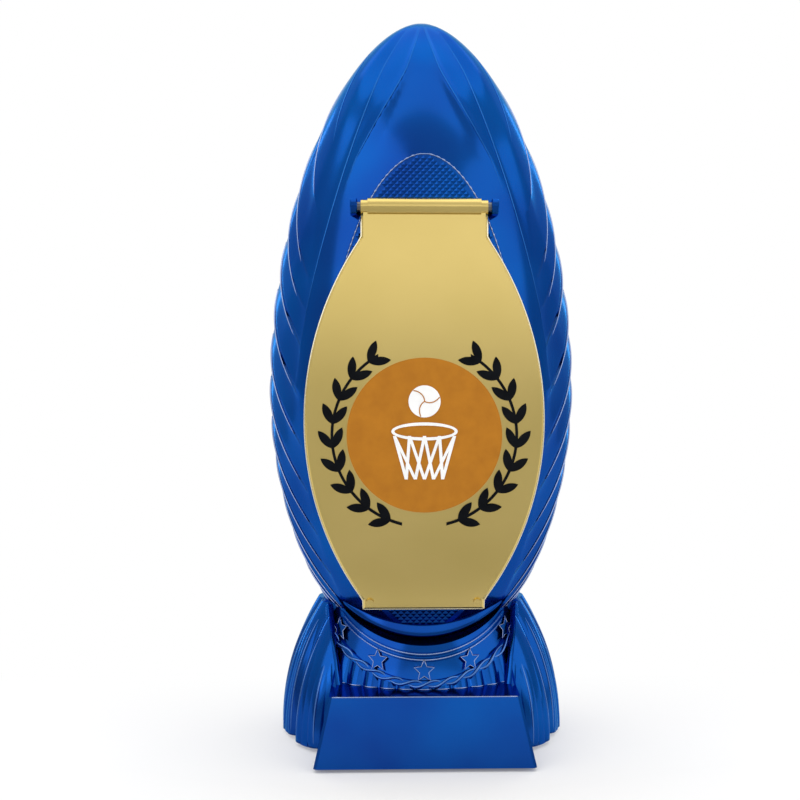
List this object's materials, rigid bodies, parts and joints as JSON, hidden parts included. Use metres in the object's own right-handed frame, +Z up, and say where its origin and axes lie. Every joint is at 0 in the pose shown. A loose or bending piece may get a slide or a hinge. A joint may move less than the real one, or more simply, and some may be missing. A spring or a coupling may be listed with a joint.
{
  "type": "sports award trophy",
  "caption": "Egg-shaped blue plated award tower with swept side flutes on a fluted weighted base, with a hinged bowed gold plate on its front and a plain engraving block.",
  "frame": {"origin": "on the egg's axis, at the underside of the foot pad", "axes": "+Z up along the egg's axis, -Y out of the front towards the viewer, +X to the viewer's right"},
  "size_m": [0.0966, 0.0998, 0.225],
  "materials": {
    "blue_plating": "electroplated metallic blue, glossy",
    "gold_plating": "electroplated gold, satin",
    "steel": "bright zinc plated",
    "pin_steel": "bright drawn",
    "ballast_iron": "as cast",
    "black_plastic": "moulded, fine texture",
    "felt": "pressed felt",
    "orange_film": "printed film, satin",
    "black_film": "printed film, satin",
    "white_film": "printed film, satin",
    "natural_plastic": "moulded"
  },
  "bodies": {
    "tower": {"front_shell": "blue_plating", "rear_shell": "blue_plating", "base_shell": "blue_plating", "shell_dowels": "natural_plastic", "weight_block": "ballast_iron", "tie_bolt": "steel", "tie_washer": "steel", "tie_nut": "steel", "base_plate": "black_plastic", "base_screws": "steel", "foot_pad": "felt"},
    "plate": {"front_plate": "gold_plating", "hinge_pin": "pin_steel", "emblem_disc": "orange_film", "emblem_wreath": "black_film", "emblem_motif": "white_film"}
  },
  "joints": [
    {"name": "plate_swing", "type": "hinge", "parent": "tower", "child": "plate", "pos_m": [0, -0.04068, 0.159], "axis": [-1, 0, 0], "range_deg": [0, 35]}
  ]
}
